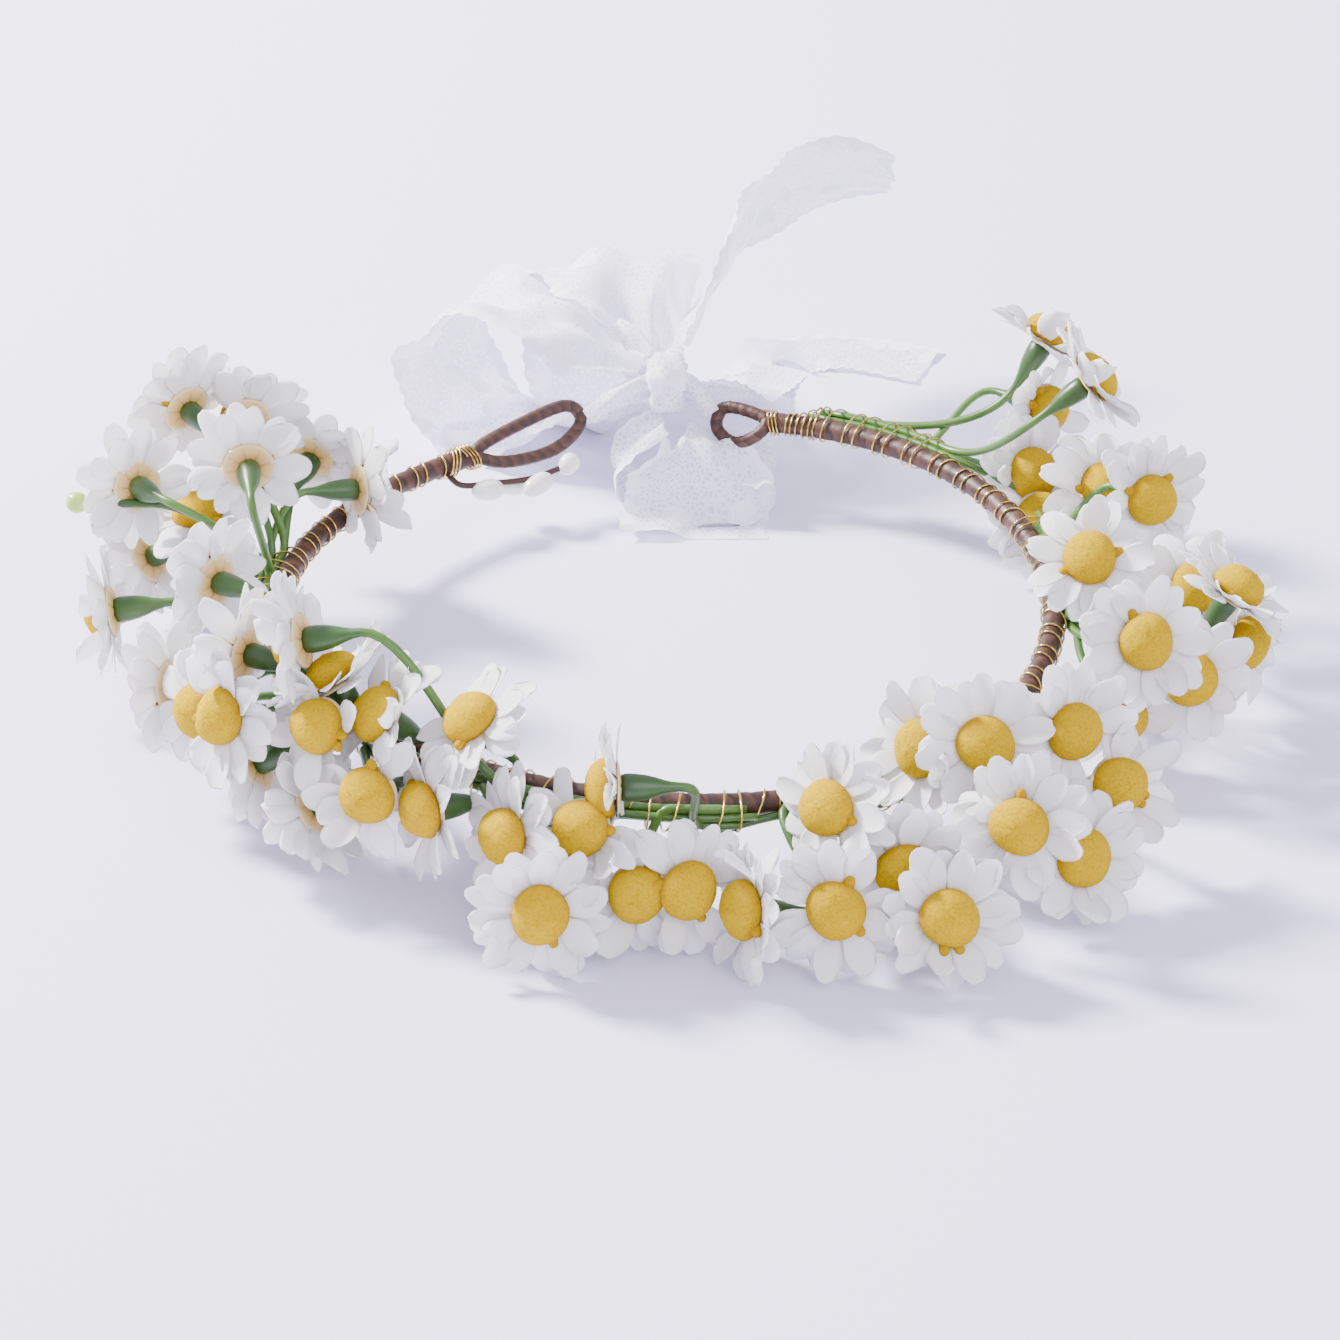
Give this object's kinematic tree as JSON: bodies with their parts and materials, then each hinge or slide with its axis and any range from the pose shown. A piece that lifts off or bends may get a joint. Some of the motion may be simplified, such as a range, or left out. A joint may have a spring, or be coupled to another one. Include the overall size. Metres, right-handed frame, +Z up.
{
  "type": "flower crown",
  "caption": "Wire hoop headpiece, open at the back, bound with sprays of white fabric daisies on bendable green stems and tied with a lace ribbon bow.",
  "frame": {"origin": "middle of the crown's bounding box, on the table that it lies on", "axes": "+Z up from the table, +Y from the front of the hoop to the lace bow at its back, +X to the wearer's left-hand side of the picture plane: right when the crown is seen from its front"},
  "size_m": [0.2988, 0.334, 0.071],
  "materials": {
    "wrapped_paper": "matt brown paper tape wound over wire",
    "core_wire": "plain steel wire, hidden in the wrap",
    "gold_wire": "thin bright gilt craft wire",
    "stem_green": "moulded green plastic with a slight sheen",
    "petal_white": "stamped white polyester petals round a felted yellow centre",
    "berry_white": "glossy ivory foam pips on a brown stalk",
    "lace": "sheer white lace ribbon"
  },
  "bodies": {
    "crown": {"hoop_wrap": "wrapped_paper", "hoop_core": "core_wire", "eyelet_left": "wrapped_paper", "eyelet_right": "wrapped_paper", "gold_wire": "gold_wire", "spray_right_back": "stem_green", "spray_right": "stem_green", "spray_right_front": "stem_green", "spray_front_right": "stem_green", "spray_front": "stem_green", "spray_front_left": "stem_green", "spray_left_front": "stem_green", "spray_left": "stem_green", "spray_left_back": "stem_green", "daisy_right_back_1": "petal_white", "daisy_right_back_3": "petal_white", "daisy_right_1": "petal_white", "daisy_right_2": "petal_white", "daisy_right_3": "petal_white", "daisy_right_6": "petal_white", "daisy_right_front_1": "petal_white", "daisy_right_front_2": "petal_white", "daisy_right_front_4": "petal_white", "daisy_right_front_6": "petal_white", "daisy_front_right_1": "petal_white", "daisy_front_right_2": "petal_white", "daisy_front_right_6": "petal_white", "daisy_front_2": "petal_white", "daisy_front_3": "petal_white", "daisy_front_4": "petal_white", "daisy_front_5": "petal_white", "daisy_front_left_2": "petal_white", "daisy_front_left_3": "petal_white", "daisy_front_left_5": "petal_white", "daisy_left_front_2": "petal_white", "daisy_left_front_4": "petal_white", "daisy_left_1": "petal_white", "daisy_left_3": "petal_white", "daisy_left_back_5": "petal_white", "daisy_left_back_6": "petal_white", "berry_sprig": "berry_white", "lace_tie_band": "lace", "lace_knot": "lace"},
    "bend_right_back_2": {"stem_right_back_2": "stem_green", "daisy_right_back_2": "petal_white"},
    "bend_right_5": {"stem_right_5": "stem_green", "daisy_right_5": "petal_white"},
    "bend_front_right_4": {"stem_front_right_4": "stem_green", "daisy_front_right_4": "petal_white"},
    "bend_left_2": {"stem_left_2": "stem_green", "daisy_left_2": "petal_white"},
    "bend_left_back_2": {"stem_left_back_2": "stem_green", "daisy_left_back_2": "petal_white"},
    "bend_left_back_3": {"stem_left_back_3": "stem_green", "daisy_left_back_3": "petal_white"},
    "lace_loops": {"lace_loop_left": "lace", "lace_loop_back": "lace"},
    "lace_front": {"lace_loop_front": "lace"},
    "lace_up": {"lace_tail_up": "lace"},
    "lace_flat": {"lace_tail_flat": "lace"}
  },
  "joints": [
    {"name": "stem_bend_right_back_2", "type": "hinge", "parent": "crown", "child": "bend_right_back_2", "pos_m": [0.07521, 0.04438, 0.02739], "axis": [-0.5593, -0.829, 0], "range_deg": [-5, 30]},
    {"name": "stem_bend_right_5", "type": "hinge", "parent": "crown", "child": "bend_right_5", "pos_m": [0.10255, -0.03423, 0.02344], "axis": [-0.5593, -0.829, 0], "range_deg": [0, 30]},
    {"name": "stem_bend_front_right_4", "type": "hinge", "parent": "crown", "child": "bend_front_right_4", "pos_m": [0.03263, -0.12237, 0.02198], "axis": [-0.7921, -0.4512, -0.4111], "range_deg": [0, 30]},
    {"name": "stem_bend_left_2", "type": "hinge", "parent": "crown", "child": "bend_left_2", "pos_m": [-0.10459, -0.03913, 0.02391], "axis": [0.1, 0.995, 0], "range_deg": [-20, 30]},
    {"name": "stem_bend_left_back_2", "type": "hinge", "parent": "crown", "child": "bend_left_back_2", "pos_m": [-0.10261, -0.0169, 0.02468], "axis": [0.8984, 0.4392, 0], "range_deg": [-25, 25]},
    {"name": "stem_bend_left_back_3", "type": "hinge", "parent": "crown", "child": "bend_left_back_3", "pos_m": [-0.09854, -0.00147, 0.02314], "axis": [0.5478, -0.8366, 0], "range_deg": [0, 30]},
    {"name": "loops_lift", "type": "hinge", "parent": "crown", "child": "lace_loops", "pos_m": [-0.00095, 0.07599, 0.031], "axis": [1, 0, 0], "range_deg": [0, 75]},
    {"name": "front_loop_swing", "type": "hinge", "parent": "crown", "child": "lace_front", "pos_m": [0.00405, 0.06799, 0.02], "axis": [-1, 0, 0], "range_deg": [0, 75]},
    {"name": "tail_up_bend", "type": "hinge", "parent": "crown", "child": "lace_up", "pos_m": [-0.00095, 0.07599, 0.031], "axis": [1, 0, 0], "range_deg": [-18, 60]},
    {"name": "tail_flat_lift", "type": "hinge", "parent": "crown", "child": "lace_flat", "pos_m": [-0.00095, 0.07599, 0.031], "axis": [1, 0, 0], "range_deg": [0, 20]}
  ]
}
